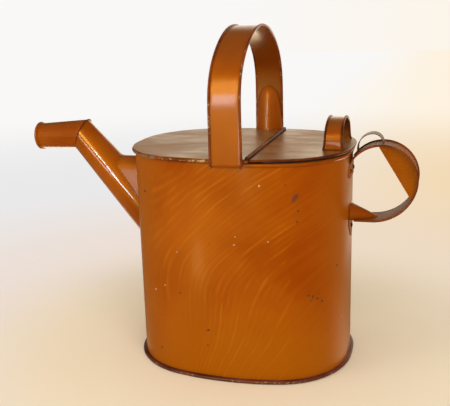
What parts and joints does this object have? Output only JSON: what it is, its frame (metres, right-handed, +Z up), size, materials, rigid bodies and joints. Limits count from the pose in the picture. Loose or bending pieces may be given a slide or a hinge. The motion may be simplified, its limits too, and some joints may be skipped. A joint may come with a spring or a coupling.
{
  "type": "watering can",
  "caption": "Oval painted tin watering can with a hinged half lid, carry hoop, riveted rear handle and elbowed spout.",
  "frame": {"origin": "on the floor under the middle of the oval body, where the rolled foot rim stands", "axes": "+Z up; spout towards -X and rear handle towards +X; the lid's hinge line runs along Y"},
  "size_m": [0.4385, 0.201, 0.3666],
  "materials": {
    "grained_paint": "gloss, combed wood-grain paint",
    "trim_paint": "gloss, worn",
    "bare_tin": "dull tinned sheet"
  },
  "bodies": {
    "can": {"front_sheet": "grained_paint", "back_sheet": "grained_paint", "base_plate": "trim_paint", "top_plate": "grained_paint", "mouth_bead": "trim_paint", "hinge_pin": "bare_tin", "carry_strap": "grained_paint", "carry_bead_left": "trim_paint", "carry_bead_right": "trim_paint", "carry_brace_front": "grained_paint", "carry_brace_back": "grained_paint", "rear_strap": "grained_paint", "rear_bead_near": "trim_paint", "rear_bead_far": "trim_paint", "grip_cheek_near": "grained_paint", "grip_cheek_far": "grained_paint", "grip_strip": "grained_paint", "thumb_strip": "grained_paint", "rear_brace": "grained_paint", "upper_rivets": "trim_paint", "lower_rivet": "trim_paint", "spout_cone": "grained_paint", "spout_nozzle": "grained_paint", "spout_rim": "trim_paint", "spout_stub": "grained_paint"},
    "lid": {"lid_plate": "grained_paint", "lid_rim": "trim_paint", "lid_collar": "bare_tin", "lift_strap": "grained_paint", "lift_bead_left": "trim_paint", "lift_bead_right": "trim_paint"}
  },
  "joints": [
    {"name": "lid_hinge", "type": "hinge", "parent": "can", "child": "lid", "pos_m": [0.0273, 0, 0.2411], "axis": [0, -1, 0], "range_deg": [0, 105]}
  ]
}
